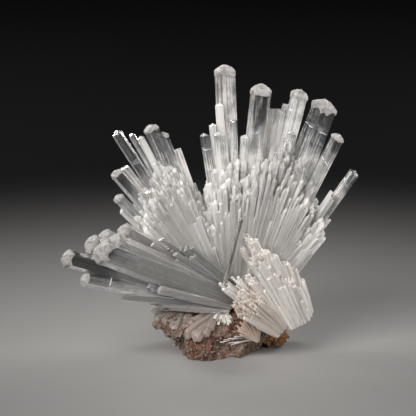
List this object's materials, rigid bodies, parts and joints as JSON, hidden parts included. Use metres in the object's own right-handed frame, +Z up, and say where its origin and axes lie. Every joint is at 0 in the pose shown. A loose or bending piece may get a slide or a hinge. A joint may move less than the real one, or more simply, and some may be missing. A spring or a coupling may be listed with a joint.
{
  "type": "scolecite crystal specimen",
  "caption": "Scolecite mineral specimen: sprays of long clear to milky prisms fanning out from a small iron-stained piece of matrix that rests on a flat spot.",
  "frame": {"origin": "a point near the middle of the flat spot on the underside of the matrix", "axes": "+Z up; +Y runs away from the display side and is the specimen's shortest extent; +X runs to the right of the display side"},
  "size_m": [0.0963, 0.0672, 0.0963],
  "materials": {
    "clear_crystal": "clear at the tips, milky and finely striated towards the root",
    "silky_crystal": "silky white, fibrous",
    "matrix": "rough, drusy, with brown and orange iron stains"
  },
  "bodies": {
    "root": {"matrix": "matrix", "right_spray": "clear_crystal", "left_spray": "clear_crystal", "lower_left_spray": "clear_crystal", "front_fan": "silky_crystal"}
  },
  "joints": []
}
